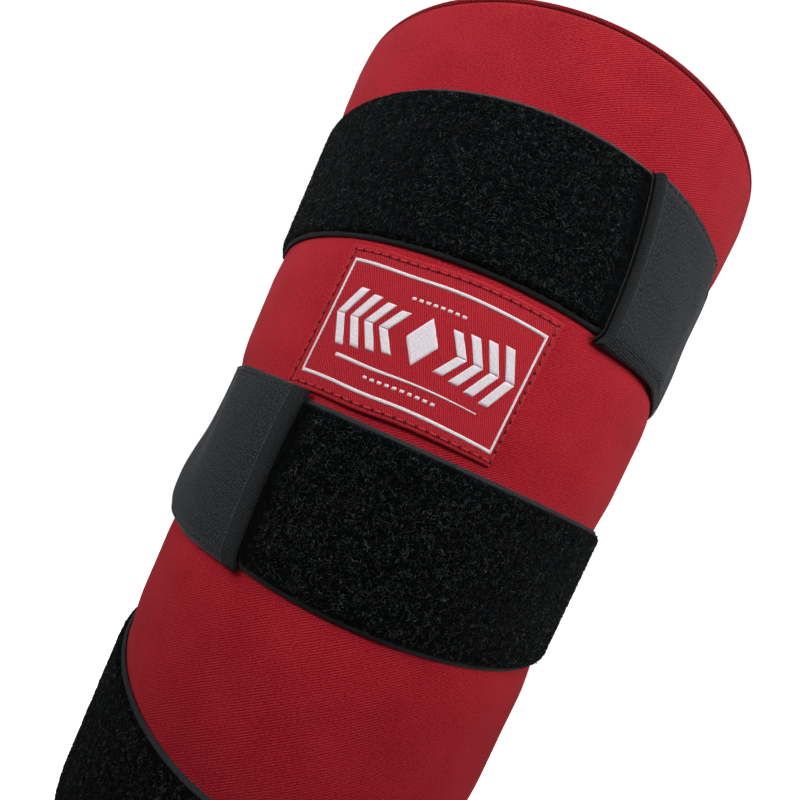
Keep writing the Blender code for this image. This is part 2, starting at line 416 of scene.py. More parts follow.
def knit(name, dark=(0.0022, 0.0026, 0.0031), light=(0.044, 0.048, 0.053)):
    """Smooth stretch fabric with a fine pebbled face."""
    n = Nodes(name)
    place, u, v = n.fabric_place()
    course = n.wave(n.math("ADD", u, n.math("MULTIPLY", n.noise(place, 1200.0), 0.0004)), 0.00056)
    wale = n.wave(n.math("ADD", v, n.math("MULTIPLY", n.noise(place, 1100.0), 0.0004)), 0.00050)
    pebble = n.math("MULTIPLY", course, wale)
    grain = n.noise(place, 1900.0, 3.0, 0.7)
    tone = n.math("MULTIPLY_ADD", pebble, 0.30, n.math("MULTIPLY", grain, 0.80))
    colour = n.ramp(tone, (0.40, dark), (0.62, light))
    n.bump(tone, 0.00020, 1.0)
    return n.finish(colour, 0.80, sheen=0.19, sheen_tint=(0.90, 0.94, 1.0), specular=0.12)


def ribbed(name, dark, light, pitch, slope=90.0, share=0.45, sheen=0.05, tint=WHITE, span=(0.22, 0.82)):
    """Woven tape with fine ribs. slope turns the way they follow each other from the cloth's width."""
    n = Nodes(name)
    place, u, v = n.fabric_place()
    turn = math.radians(slope)
    across = n.math("MULTIPLY_ADD", u, math.cos(turn), n.math("MULTIPLY", v, math.sin(turn)))
    wander = n.math("MULTIPLY", n.noise(place, 1300.0), 0.4 * pitch)
    rib = n.wave(n.math("ADD", across, wander), pitch)
    grain = n.noise(place, 2300.0, 3.0, 0.7)
    tone = n.math("MULTIPLY_ADD", rib, share, n.math("MULTIPLY", grain, 1.05 - share))
    colour = n.ramp(tone, (span[0], dark), (span[1], light))
    n.bump(tone, 0.00010, 0.8)
    return n.finish(colour, 0.85, sheen, tint, sheen_rough=0.45, specular=0.12)


def thread(name, colour, light, roughness=0.7, sheen=0.05):
    n = Nodes(name)
    strand = n.noise(n.object_place(), 5200.0, 1.0)
    return n.finish(n.ramp(strand, (0.3, colour), (0.7, light)), roughness, sheen, specular=0.2)


def lining(name):
    n = Nodes(name)
    place, u, v = n.fabric_place()
    hole = n.math("MULTIPLY", n.wave(u, 0.0016), n.wave(v, 0.0016))
    grain = n.noise(place, 1800.0, 2.0)
    tone = n.math("MULTIPLY_ADD", hole, 0.5, n.math("MULTIPLY", grain, 0.5))
    colour = n.ramp(tone, (0.2, (0.006, 0.006, 0.007)), (0.8, (0.028, 0.028, 0.030)))
    n.bump(tone, 0.0003, 0.9)
    return n.finish(colour, 0.8, sheen=0.08, sheen_tint=(0.9, 0.95, 1.0), sheen_rough=0.5, specular=0.2)


def foam(name):
    n = Nodes(name)
    cells = n.noise(n.object_place(), 1400.0, 4.0, 0.7)
    n.bump(cells, 0.0004, 0.8)
    return n.finish(n.ramp(cells, (0.3, (0.10, 0.10, 0.11)), (0.7, (0.26, 0.26, 0.27))), 0.95)


def make_looks():
    # The hook tape is black, set darker still as painted shade where it shows before the hem.
    hook_colours = ((0.0006, 0.0007, 0.0009), (0.0040, 0.0045, 0.0050))
    label_colours = ((0.19, 0.0035, 0.0090), (0.54, 0.0260, 0.0390))
    return {
        "twill": twill("red_twill"),
        # The edge tape is the twill's own red made darker: painted shade on the turned edge.
        "binding": twill("shaded_red_edge_tape", (0.10, 0.002, 0.004), (0.22, 0.007, 0.012), (0.33, 0.02, 0.028)),
        "pile": pile("black_loop_pile"),
        "fibre": fibre("black_loop_fibres"),
        "selvage": ribbed("band_selvage", (0.0020, 0.0025, 0.0030), (0.040, 0.044, 0.047), 0.0005, 0.0, 0.25),
        "knit": knit("grey_strap_knit"),
        # The hem is a fold of the strap's own cloth; its darker colours are painted shade on the turned-over
        # fold.
        "hem": ribbed("ribbed_hem", (0.0009, 0.0011, 0.0013), (0.027, 0.030, 0.032), 0.00048, 90.0, 0.36),
        "hook": ribbed("hook_tape", *hook_colours, 0.0012, share=0.15, sheen=0.0),
        "label": ribbed("woven_label_red", *label_colours, RIB_PITCH, RIB_SLOPE, 0.42, 0.06,
                        tint=(1.0, 0.70, 0.70), span=(0.37, 0.68)),
        "white": ribbed("woven_label_white", (0.50, 0.44, 0.48), (0.86, 0.80, 0.84), 0.0004, 90.0, 0.25),
        "red_thread": thread("red_thread", (0.26, 0.006, 0.012), (0.50, 0.026, 0.038)),
        # The needle-hole colours are painted shade: dark red for the recesses of the holes.
        "hole": thread("needle_hole", (0.075, 0.0020, 0.0040), (0.13, 0.0036, 0.0070), 0.9, 0.0),
        "dark_thread": thread("dark_thread", (0.0020, 0.0024, 0.0028), (0.012, 0.013, 0.014)),
        "grey_thread": thread("grey_thread", (0.024, 0.026, 0.029), (0.075, 0.080, 0.085)),
        "pale_thread": thread("pale_thread", (0.012, 0.014, 0.015), (0.055, 0.059, 0.062)),
        "lining": lining("black_lining"),
        "foam": foam("grey_foam"),
    }


# Studio.

FLOOR_GAP = 0.0004


def add_camera():
    yaw, pitch, roll = CAMERA_YAW, CAMERA_PITCH, CAMERA_ROLL
    forward = Vector((math.sin(yaw) * math.cos(pitch), math.cos(yaw) * math.cos(pitch), math.sin(pitch)))
    level = Vector((math.cos(yaw), -math.sin(yaw), 0.0))
    upright = level.cross(forward)
    right = math.cos(roll) * level + math.sin(roll) * upright
    up = math.cos(roll) * upright - math.sin(roll) * level
    data = bpy.data.cameras.new("camera")
    data.lens = CAMERA_LENS
    data.sensor_width = SENSOR
    data.clip_start = 0.005
    camera = bpy.data.objects.new("camera", data)
    camera.matrix_world = Matrix((right, up, -forward)).transposed().to_4x4()
    camera.matrix_world.translation = Vector(CAMERA_PLACE)
    bpy.context.scene.collection.objects.link(camera)
    bpy.context.scene.camera = camera


def add_light(name, place, target, size, power, spread=180.0):
    data = bpy.data.lights.new(name, "AREA")
    data.shape = "DISK"
    data.size = size
    data.energy = power
    data.spread = math.radians(spread)
    light = bpy.data.objects.new(name, data)
    light.location = place
    light.rotation_euler = (Vector(target) - Vector(place)).to_track_quat("-Z", "Y").to_euler()
    bpy.context.scene.collection.objects.link(light)


def make_paper(sheet, name, shade, roughness, glow):
    """Glowing white paper that lights nothing else."""
    paper = Nodes(name)
    paper.shader.inputs["Emission Color"].default_value = (*WHITE, 1.0)
    paper.shader.inputs["Emission Strength"].default_value = glow
    sheet.data.materials.append(paper.finish((shade, shade, shade), roughness))
    sheet.visible_diffuse = False
    sheet.visible_glossy = False


def add_studio():
    scene = bpy.context.scene
    scene.view_settings.view_transform = "Standard"
    world = bpy.data.worlds.new("studio")
    scene.world = world
    world.use_nodes = True
    background = world.node_tree.nodes["Background"]
    background.inputs["Color"].default_value = (*WHITE, 1.0)
    background.inputs["Strength"].default_value = 0.10
    middle = (0.0, 0.0, 0.170)
    for name, side in (("left_softbox", -1.0), ("right_softbox", 1.0)):
        add_light(name, (side * 0.42, -0.24, 0.34), middle, size=0.34, power=0.291, spread=50.0)
    add_light("front_softbox", (0.0, -0.32, 0.38), (0.0, 0.0, 0.205), size=0.20, power=0.050, spread=30.0)
    add_light("back_softbox", (0.0, 0.50, 0.50), middle, size=0.5, power=3.0)
    below = (0.0, 0.0, -FLOOR_GAP)
    bpy.ops.mesh.primitive_circle_add(vertices=96, radius=3.0, fill_type="NGON", location=below)
    floor = bpy.context.object
    floor.name = "floor"
    make_paper(floor, "pale_paper", shade=0.86, roughness=0.9, glow=0.94)
    bpy.ops.mesh.primitive_uv_sphere_add(segments=48, ring_count=24, radius=3.2)
    backdrop = bpy.context.object
    backdrop.name = "white_backdrop"
    backdrop.visible_shadow = False
    make_paper(backdrop, "white_backdrop", shade=0.8, roughness=1.0, glow=1.0)


# Stitches and fibres: many small closed shapes joined in one mesh.

SHARES = np.linspace(0.0, 1.0, 600)  # how far along a stitch line each of its points lies

# Stitch lines: the pitch, the share of it that one stitch covers, and the thread's half width.
CHANNEL_STITCH = (0.0032, 0.7, 0.00026)
SEAM_STITCH = (0.0030, 0.7, 0.00024)
BAND_STITCH = (0.0022, 0.7, 0.00012)
STRAP_STITCH = (0.0019, 0.55, 0.00013)
CREASE_STITCH = (0.0018, 0.95, 0.00012)
ROOT_STITCH = (0.0022, 0.7, 0.00020)
TAPE_EDGE_STITCH = (0.0016, 1.15, 0.00009)
LABEL_STITCH = (0.0024, 0.72, 0.00028)
NEEDLE_HOLE = 0.00042


def capsule(around=6, rings=5):
    """A unit capsule's points (along x, across y, out z), its side quads and its two caps."""
    points = []
    for i in range(rings):
        turn = math.pi * (i + 0.5) / rings
        reach = math.sin(turn) ** 0.6
        for j in range(around):
            roll = 2.0 * math.pi * j / around
            points.append((-math.cos(turn), reach * math.cos(roll), reach * math.sin(roll)))
    last = (rings - 1) * around
    caps = [tuple(range(around))[::-1], tuple(range(last, last + around))]
    return np.array(points), grid_quads(rings, around, tube=True), np.array(caps)


def copies_mesh(name, points, shape_faces, look):
    """One mesh of many copies of a shape, from (copy, point, axis) places and the shape's own faces."""
    count, step = points.shape[:2]
    starts = step * np.arange(count)[:, None, None]
    faces = [(group[None, :, :] + starts).reshape(-1, group.shape[1]) for group in shape_faces]
    return new_mesh(name, points.reshape(-1, 3), faces, look)


def unit(vectors):
    return vectors / np.linalg.norm(vectors, axis=1, keepdims=True)


def scatter(name, centres, along, out, sizes, look):
    """One capsule at each centre, with half sizes (along, across, out)."""
    template, quads, caps = capsule()
    along = unit(along)
    across = unit(np.cross(out, along))
    up = np.cross(along, across)
    axes = np.stack([along * sizes[:, :1], across * sizes[:, 1:2], up * sizes[:, 2:3]], axis=1)
    points = centres[:, None, :] + np.einsum("pk,nkc->npc", template, axes)
    return copies_mesh(name, points, (quads, caps), look)


def outward(angle):
    turn = np.radians(angle)
    return np.stack([np.sin(turn), -np.cos(turn), np.zeros_like(turn)], axis=-1)


def spaced(path, pitch):
    """Evenly spaced (angle, point, direction) along a path: angles, heights and offsets at the SHARES."""
    angle, z, offset = (np.broadcast_to(value, SHARES.shape) for value in path)
    points = on_wall(angle, z, offset)
    run = np.concatenate([[0.0], np.cumsum(np.linalg.norm(np.diff(points, axis=0), axis=1))])
    count = max(2, round(run[-1] / pitch))
    at = (np.arange(count) + 0.5) * run[-1] / count
    place = np.stack([np.interp(at, run, points[:, k]) for k in range(3)], axis=-1)
    slope = np.gradient(points, axis=0)
    direction = np.stack([np.interp(at, run, slope[:, k]) for k in range(3)], axis=-1)
    return np.interp(at, run, angle), place, direction


def stitch_runs(name, paths, look, pitch, share, thick):
    """Lines of thread stitches along each path; share is a stitch's length over the pitch."""
    parts = [spaced(path, pitch) for path in paths]
    angle, place, direction = (np.concatenate([part[k] for part in parts]) for k in range(3))
    direction = unit(direction)
    out = outward(angle)
    sizes = np.tile([pitch * share / 2.0, thick, thick * 0.8], (len(place), 1))
    return scatter(name, place, direction, out, sizes, look)


def holes_between(name, paths, look, pitch, size):
    """Small dark crosses where the needle went through, at the stitches' ends: their dark red is painted
    shade in the holes.
    """
    parts = []
    for path in paths:
        angle, place, direction = spaced(path, pitch)
        direction = unit(direction)
        out = outward(angle)
        for slant in (-0.9, 0.9):
            parts.append((place + direction * pitch / 2.0, direction + slant * np.cross(out, direction), out))
    place, direction, out = (np.concatenate([part[k] for part in parts]) for k in range(3))
    sizes = np.tile([size, size * 0.42, size * 0.30], (len(place), 1))
    return scatter(name, place, direction, out, sizes, look)


FIBRE_RINGS = 5
FIBRE_THICK = 0.000085
FIBRE_SINK = 0.00010


def fibres(name, places, out, along, lengths, rise, look, rng):
    """Thin closed three-sided strands that leave the surface, curl and come back to it."""
    count = len(places)
    side = np.cross(out, along)
    curl = rng.uniform(-0.45, 0.45, (count, 1)) * lengths[:, None]
    twist = rng.uniform(-0.25, 0.25, (count, 1)) * lengths[:, None]
    rings = []
    for t in np.linspace(0.0, 1.0, FIBRE_RINGS):
        hump = math.sin(math.pi * t)
        sideways = curl * hump + twist * math.sin(2.0 * math.pi * t)
        centre = places + along * (t - 0.5) * lengths[:, None] + side * sideways
        centre = centre + out * (rise[:, None] * hump - FIBRE_SINK)
        thick = FIBRE_THICK * (0.45 + 0.55 * hump)
        for roll in (0.0, 2.0 * math.pi / 3.0, 4.0 * math.pi / 3.0):
            rings.append(centre + thick * (side * math.cos(roll) + out * math.sin(roll)))
    points = np.stack(rings, axis=1)
    last = points.shape[1] - 3
    caps = np.array([(2, 1, 0), (last, last + 1, last + 2)])
    return copies_mesh(name, points, (grid_quads(FIBRE_RINGS, 3, tube=True), caps), look)


# Sleeve.

CLOTH_THICK = 0.0009
CLOTH_END = 0.0013
END_ROUND = (0.0011, 0.0008)
FOAM_CLEAR = -0.0011  # the lowest a panel may go, just over the foam
SEAM_EDGE = 0.03
SEAM_DIP = 0.0011
SEAM_REACH = 0.0022
BAND_DIP = 0.0008
REAR_SWELL = 0.0005
REAR_WAVE = 0.00026
FRONT_WAVE = 0.00030
FRONT_LIFT = 0.0002
ROOT_DIP = 0.0015


def panel(name, angle, z, relief, uv, looks):
    outer, inner = on_wall(angle, z, relief), on_wall(angle, z, relief - CLOTH_THICK)
    return slab(name, outer, inner, uv, looks["twill"])


def rear_offset(angle, z):
    """The rear panel's relief: soft swells between the bands, dips under them, and a slight wave."""
    relief = np.zeros(np.broadcast(angle, z).shape)
    for band in BANDS:
        low, high = band_edges(band, angle)
        inside = np.minimum(z - low, high - z)
        relief = relief - BAND_DIP * smoothstep(-0.010, 0.002, inside)
        under_strap = smoothstep(CLIMB[1] - 4.0, CLIMB[0], band.side * angle)
        relief = relief - BAND_DIP * under_strap * smoothstep(-0.005, 0.002, inside)
    relief = relief + REAR_SWELL
    wave = REAR_WAVE * ripple(arc_length(angle, z) / 0.022, z / 0.030, 3.1, 2)
    ends = np.minimum(z, LENGTH - z)
    return (relief + wave) * smoothstep(0.0, 0.008, ends) - rounded(ends - CLOTH_END, *END_ROUND)


def seam_dip(angle):
    """The fold of cloth into the side seams."""
    away = np.radians(np.abs(np.abs(half_turns(angle)) - SEAM_ANGLE)) * MEAN_RADIUS
    return -SEAM_DIP * (1.0 - smoothstep(0.0, SEAM_REACH, away))


def pull(angle, z):
    """How far the weave is pulled askew along Z: its ribs turn with height, and more beside the label."""
    run = arc_length(angle, LENGTH / 2)
    beside_label = 0.20 * np.maximum(run - 0.010, 0.0) * np.exp(-(((z - 0.163) / 0.028) ** 2))
    return -0.7 * run * (z - 0.130) - beside_label


def rear_panel(looks):
    u, v = uv_grid(220, 260)
    angle = mix(-SEAM_ANGLE + SEAM_EDGE, SEAM_ANGLE - SEAM_EDGE, u)
    z = mix(CLOTH_END, LENGTH - CLOTH_END, v)
    relief = np.maximum(rear_offset(angle, z) + seam_dip(angle), FOAM_CLEAR)
    uv = np.stack([arc_length(angle, LENGTH / 2), z + pull(angle, z)], axis=-1)
    piece = panel("rear_panel_cloth", angle, z, relief, uv, looks)
    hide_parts("rear_panel")
    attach(piece, "sleeve")
    mean = arc_length(2.0 * SEAM_ANGLE, LENGTH / 2)
    arc_length(2.0 * SEAM_ANGLE, LENGTH)


PAD_SPAN = 44.0
PAD_COUNT = 3
PAD_HEIGHT = 0.0065
PAD_LOWEST = 0.0012
PAD_FADE = 7.0
PAD_START = 0.0113
PAD_END = 0.024


def bar_crown(face_angle):
    half = PAD_COUNT * PAD_SPAN / 2.0
    across = np.mod(face_angle / PAD_SPAN + PAD_COUNT / 2.0, 1.0)
    dome = np.sqrt(np.clip(1.0 - np.abs(2.0 * across - 1.0) ** 3.0, 0.0, 1.0))
    low = PAD_LOWEST / PAD_HEIGHT
    beyond = np.abs(face_angle) - half
    return np.where(beyond >= 0.0, low * (1.0 - smoothstep(0.0, PAD_FADE, beyond)), mix(low, 1.0, dome))


def end_fade(z):
    full = PAD_START + PAD_END
    return smoothstep(PAD_START, full, z) * smoothstep(LENGTH - PAD_START, LENGTH - full, z)


def under_root(angle, z):
    """1 where a strap's sewn root lies on the front cover, 0 away from it."""
    share = 0.0 * z
    for band in BANDS:
        turned = band.side * half_turns(angle)
        across = smoothstep(-0.0035, 0.0005, inside_strap(band, angle, z))
        near = smoothstep(ROOT_ANGLE + 5.0, ROOT_ANGLE + 1.0, turned) * (turned > 0.0)
        share = np.maximum(share, across * near)
    return share


def front_panel(looks):
    u, v = uv_grid(300, 260)
    angle = mix(SEAM_ANGLE + SEAM_EDGE, 360.0 - SEAM_ANGLE - SEAM_EDGE, u)
    z = mix(CLOTH_END, LENGTH - CLOTH_END, v)
    lift = PAD_HEIGHT * bar_crown(angle - 180.0) * end_fade(z)
    ends = np.minimum(z, LENGTH - z)
    wave = FRONT_WAVE * ripple(arc_length(angle - 180.0, z) / 0.020, z / 0.028, 7.7, 3)
    wave = wave * smoothstep(0.0, 0.010, ends)
    relief = lift + wave + FRONT_LIFT + seam_dip(angle) - rounded(ends - CLOTH_END, *END_ROUND)
    relief = np.maximum(relief - ROOT_DIP * under_root(angle, z), FOAM_CLEAR)
    uv = np.stack([arc_length(angle, LENGTH / 2), z], axis=-1)
    piece = panel("front_cover_cloth", angle, z, relief, uv, looks)
    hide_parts("front_cover")
    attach(piece, "sleeve")


def channel_stitches(looks):
    """Stitches down the strike face, beside and between its three bars."""
    z = mix(0.012, LENGTH - 0.012, SHARES)
    lift = PAD_LOWEST * end_fade(z) + 0.0004
    edges = [180.0 + (i - PAD_COUNT / 2.0) * PAD_SPAN for i in range(PAD_COUNT + 1)]
    paths = [(angle, z, lift) for angle in edges]
    piece = stitch_runs("channel_stitches", paths, looks["red_thread"], *CHANNEL_STITCH)
    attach(piece, "sleeve")


def seam_stitches(looks):
    """A line of stitches down each side seam, out of sight under the straps."""
    z = mix(0.004, LENGTH - 0.004, SHARES)
    paths = []
    for side in (-1, 1):
        angle = side * (SEAM_ANGLE + arc_angle(0.0026, z))
        offset = 0.00045 + 0.0 * z
        for band in BANDS:
            if band.side == side:
                offset = offset - 0.0016 * smoothstep(-0.0012, 0.0, inside_strap(band, angle, z))
        paths.append((angle, z, offset))
    piece = stitch_runs("side_seam_stitches", paths, looks["red_thread"], *SEAM_STITCH)
    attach(piece, "sleeve")


# Ends: a thin piping bead outside, and folded tape over the edge and down the inside, both in a darker red
# that is painted shade on the turned edge.

RING_POINTS = 240
BEAD = 0.0008
FOLD_ROUND = 0.0011
HEM_ROUND = 0.0004
TAPE_LEG = 0.0010
TAPE_DEPTH = 0.0100
LINER_THICK = 0.0007
LINER_END = 0.0019


def ring_piece(name, profile, looks, look, node):
    """A closed outline of (offset, z) points turned round the sleeve's axis."""
    profile = np.array(profile)
    angle = np.linspace(0.0, 360.0, RING_POINTS, endpoint=False)
    points = on_wall(angle[None, :], profile[:, 1][:, None], profile[:, 0][:, None])
    quads = grid_quads(len(profile), RING_POINTS, ring=True)
    along = np.concatenate([[0.0], np.cumsum(np.linalg.norm(np.diff(profile, axis=0), axis=1))])
    run = np.radians(angle) * MEAN_RADIUS
    uv = np.stack(np.broadcast_arrays(run[None, :], along[:, None]), axis=-1)
    piece = new_mesh(name, points.reshape(-1, 3), [quads], looks[look], uv.reshape(-1, 2))
    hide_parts(node)
    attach(piece, "sleeve")
    return piece


def arc_points(centre, reach, start, end, count=7):
    turns = np.radians(np.linspace(start, end, count))
    return [(centre[0] + reach * math.cos(t), centre[1] + reach * math.sin(t)) for t in turns]


def end_ring(name, node, at, up, looks):
    """up is 1 for the elbow, where the ring faces +Z, and -1 for the wrist."""
    inside = LINER_OFFSET - 0.0012
    inner_face = inside + TAPE_LEG
    outline = arc_points((-BEAD - 0.0001, -BEAD), BEAD, -60.0, 90.0)
    outline += arc_points((inside + FOLD_ROUND, -FOLD_ROUND), FOLD_ROUND, 90.0, 180.0)
    outline += arc_points((inside + HEM_ROUND, -TAPE_DEPTH), HEM_ROUND, 180.0, 270.0, 4)
    outline += [(inner_face, -TAPE_DEPTH), (inner_face, -0.0018), (-0.0020, -0.0018)]
    profile = [(offset, at + up * z) for offset, z in outline]
    if up > 0:
        profile = profile[::-1]
    ring_piece(name, profile, looks, "binding", node)


def liner(looks):
    outer, top = LINER_OFFSET + LINER_THICK, LENGTH - LINER_END
    outline = [(outer, LINER_END), (outer, top)]
    outline += [(LINER_OFFSET, mix(top, LINER_END, s)) for s in np.linspace(0.0, 1.0, 40)]
    piece = ring_piece("liner_cloth", outline, looks, "lining", "inner_liner")


# Loop bands.

SELVAGE = 0.0013
TAPE_FOOT = 0.0001
TAPE_TOP = 0.0008
PILE_FOOT = 0.0006
PILE_TOP = 0.0016
PRESSED_PILE = 0.0011
HELD_SHARE = 0.9
TOE_ANGLE = 0.8
BAND_STITCH_INSET = 0.0009
FIBRES_A_BAND = 12500
FIBRE_RISE = (0.0001, 0.00045)
FIBRE_LENGTH = (0.0006, 0.0015)


def end_angle(band, v):
    """The outline of the strap's end: bowed, with a small toe at its lower corner."""
    toe = TOE_ANGLE * (1.0 - smoothstep(0.0, 0.07, v))
    return band.end_angle - band.bow * (v - band.bow_at) ** 2 - toe


def pressed(band, angle, v):
    """1 where the strap lies on the pile, 0 where the pile is free."""
    end = end_angle(band, v)
    return smoothstep(end - 0.9, end + 0.5, band.side * angle)


def band_strip(name, band, start, end, foot, top, columns, rows, look, inset=0.0):
    """A strip along a band, from the offset foot up to top, which takes (angle, u, v) grids.

    Along the band, its UV is the distance before the strap's end, where the pile's painted shadow goes.
    """
    u, v = uv_grid(columns, rows)
    angle = mix(start, end, u) * band.side
    z = band_height(band, angle, v, inset)
    before_strap = arc_length(end_angle(band, v) - angle * band.side, band.bottom)
    uv = np.stack([before_strap, z - band.bottom], axis=-1)
    outer, inner = on_wall(angle, z, top(angle, u, v)), on_wall(angle, z, foot)
    return slab(name, outer, inner, uv, look, flip=band.side < 0)


def loop_band(band, looks, rng):
    start, end = -SEAM_ANGLE + 0.4, UNDERLAP
    width = band.top - band.bottom
    length = arc_length(end - start, band.bottom + width / 2.0)

    def top(_angle, u, v):
        return TAPE_TOP - rounded(edge_distance(u, v, length, width), 0.0006, 0.0005)

    tape = band_strip(
        f"{band.name}_band_tape", band, start, end, TAPE_FOOT, top, 160, 40, looks["selvage"]
    )
    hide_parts(f"{band.name}_loop_band")
    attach(tape, "sleeve")
    loop_pile(band, looks, start, end, length, width - 2.0 * SELVAGE)
    loop_fibres(band, looks, rng, start, end)
    band_stitches(band, looks, start, end)


def loop_pile(band, looks, start, end, length, height):
    def top(angle, u, v):
        away = edge_distance(u, v, length, height)
        place = (arc_length(angle, band.bottom), v * height)
        coarse = ripple(place[0] / 0.0016, place[1] / 0.0016, band.bottom * 100.0, 3)
        fine = ripple(place[0] / 0.0007, place[1] / 0.0007, band.bottom * 90.0 + 5.0, 2)
        loose = PILE_TOP + 0.00026 * coarse + 0.00018 * fine
        edge = 0.0010 * (1.0 + 0.35 * coarse)
        held = HELD_SHARE * pressed(band, angle, v)
        return mix(loose, PRESSED_PILE, held) - rounded(away, edge, 0.0008)

    fluff = band_strip(
        f"{band.name}_band_pile", band, start, end, PILE_FOOT, top, 300, 76, looks["pile"], SELVAGE * 0.7
    )
    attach(fluff, "sleeve")


def loop_fibres(band, looks, rng, start, end):
    count = FIBRES_A_BAND
    u, v = rng.uniform(0.004, 0.996, count), rng.uniform(0.0, 1.0, count)
    v = v + rng.normal(0.0, 0.008, count)
    angle = mix(start, end, u) * band.side
    z = band_height(band, angle, v, SELVAGE)
    out = outward(angle)
    turn = rng.uniform(0.0, 2.0 * math.pi, count)[:, None]
    tangent = np.stack([-out[:, 1], out[:, 0], 0.0 * angle], axis=-1)
    along = tangent * np.cos(turn) + np.array([0.0, 0.0, 1.0]) * np.sin(turn)
    past_end = band.side * angle - end_angle(band, v)
    held = np.maximum(pressed(band, angle, v), HELD_SHARE * smoothstep(-4.6, -1.4, past_end))
    near_edge = 1.0 - smoothstep(0.0, 0.03, edge_share(v))
    base = mix(PILE_TOP - 0.00004, PRESSED_PILE - 0.0001, held) - 0.0005 * near_edge
    rise = rng.uniform(*FIBRE_RISE, count) * (1.0 - held)
    lengths = rng.uniform(*FIBRE_LENGTH, count)
    places = on_wall(angle, z, base)
    piece = fibres(f"{band.name}_band_fibres", places, out, along, lengths, rise, looks["fibre"], rng)
    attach(piece, "sleeve")


def band_stitches(band, looks, start, end):
    angle = mix(start, end, SHARES) * band.side
    inset = BAND_STITCH_INSET / (band.top - band.bottom)
    paths = [(angle, band_height(band, angle, v), TAPE_TOP - 0.00008) for v in (inset, 1.0 - inset)]
    line = stitch_runs(f"{band.name}_band_stitches", paths, looks["dark_thread"], *BAND_STITCH)
    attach(line, "sleeve")


# Straps.

DROOP_LOWER_EDGE = 0.0012
DROOP_UPPER_EDGE = 0.0005
DROOP_REACH = 0.0034
HEM_DROOP = 0.6  # the stiffer hem and hook tape turn down by this share of it
STITCH_DENT = 0.00018
STRAP_WAVE = 0.00016


def edge_droop(band, v):
    """How far the strap turns down along its two long edges, more along the lower one."""
    away = edge_share(v) * strap_width(band)
    drop = np.where(v < 0.5, DROOP_LOWER_EDGE, DROOP_UPPER_EDGE)
    return drop * (1.0 - smoothstep(0.0, DROOP_REACH, away))


def strap_inner(band, angle, v):
    """The strap's inner face: high on the band, low beyond it, with a bulge low on its width."""
    climb = smoothstep(CLIMB[0], CLIMB[1], angle)
    droop = edge_droop(band, v)
    bulge = band.belly * np.exp(-(((v - 0.16) / 0.36) ** 2)) * (1.0 - smoothstep(88.0, 100.0, angle))
    return mix(STRAP_INNER_LOW + bulge - 150.0 * droop * bulge, STRAP_INNER_HIGH - droop, climb)


def strap_grid(band, start_share, end_share, columns, rows):
    """u and v over a stretch of the strap, and the angles there. The shares run from its end to its root."""
    u, v = uv_grid(columns, rows)
    return u, v, mix(end_angle(band, v), ROOT_ANGLE, mix(start_share, end_share, u))


def bend_with_strap(piece):
    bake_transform(piece)


def strap_width(band):
    return band.top - band.bottom + band.low_over[1] + band.high_over[1]


def strap_slab(name, band, angle, z, top, inner, look, girth_at):
    """A sheet on the strap between two offsets. Its UV is measured round the sleeve at one height."""
    signed = angle * band.side
    uv = np.stack([arc_length(angle, girth_at), z - band.bottom], axis=-1)
    return slab(name, on_wall(signed, z, top), on_wall(signed, z, inner), uv, look, flip=band.side < 0)


def strap_relief(band, u, v, length):
    """Rounded edges, the dents of the two edge stitch lines, and a slight wave."""
    height = strap_width(band)
    away = edge_share(v) * height
    dent = STITCH_DENT * np.exp(-(((away - STRAP_STITCH_INSET) / 0.0005) ** 2))
    wave = STRAP_WAVE * ripple(u * length / 0.012, v * height / 0.011, band.bottom * 70.0, 2)
    return wave - dent - rounded(away, 0.0008, 0.0006) - rounded((1.0 - u) * length, 0.0008, 0.0005)


def strap(band, looks):
    middle = (band.bottom + band.top) / 2.0
    whole = ROOT_ANGLE - band.end_angle
    hem_share = arc_angle(band.hem, middle) / whole
    length = arc_length(whole, middle)
    u, v, angle = strap_grid(band, hem_share * 0.95, 1.0, 170, 64)
    z = strap_height(band, angle * band.side, v)
    inner = strap_inner(band, angle, v)
    top = inner + STRAP_THICK + strap_relief(band, u, v, length)
    body = strap_slab(f"{band.name}_strap_cloth", band, angle, z, top, inner, looks["knit"], middle)
    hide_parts(f"{band.name}_strap", f"{band.name}_strap_root")
    bend_with_strap(body)
    peep_share = arc_angle(band.peep, middle) / whole
    strap_hem(band, looks, peep_share, hem_share)
    hook_tape(band, looks, hem_share, whole)
    strap_stitches(band, looks, hem_share)


HEM_LOW = 0.0015
HEM_RIB = 0.00048
HEM_RIB_HEIGHT = 0.00010
HEM_RIDGE = 0.00014


def strap_hem(band, looks, start_share, hem_share):
    """The folded end: a steep rounded edge, fine ladder ribs, and a ridge before the crease."""
    u, v, angle = strap_grid(band, start_share, hem_share, 30, 420)
    z = strap_height(band, angle * band.side, v)
    away = edge_share(v) * strap_width(band)
    ribs = np.abs(np.sin(math.pi * (z / HEM_RIB + 0.6 * u)))
    ribs = ribs * smoothstep(0.36, 0.55, u) * (1.0 - smoothstep(0.74, 0.86, u))
    high = STRAP_INNER_HIGH + STRAP_THICK + 0.0001
    turn_over = np.sqrt(1.0 - np.clip(1.0 - u / 0.55, 0.0, 1.0) ** 2)
    ridge = HEM_RIDGE * np.exp(-(((u - 0.86) / 0.06) ** 2))
    droop = HEM_DROOP * edge_droop(band, v)
    relief = HEM_RIB_HEIGHT * ribs + ridge - rounded(away, 0.0007, 0.0006)
    top = mix(HEM_LOW, high, turn_over) + relief - droop
    inner = HEM_LOW - 0.0002 - droop
    piece = strap_slab(f"{band.name}_hem_roll", band, angle, z, top, inner, looks["hem"], band.bottom)
    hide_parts(f"{band.name}_strap_hem")
    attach(piece, f"{band.name}_strap")


TAPE_INSET = 0.0018
HOOK_TOP = 0.0020
HOOK_THIN = 0.0004
HOOK_SIZE = (0.00030, 0.00018, 0.00018)
HOOK_ROWS = 26
HOOK_COLUMNS = 24


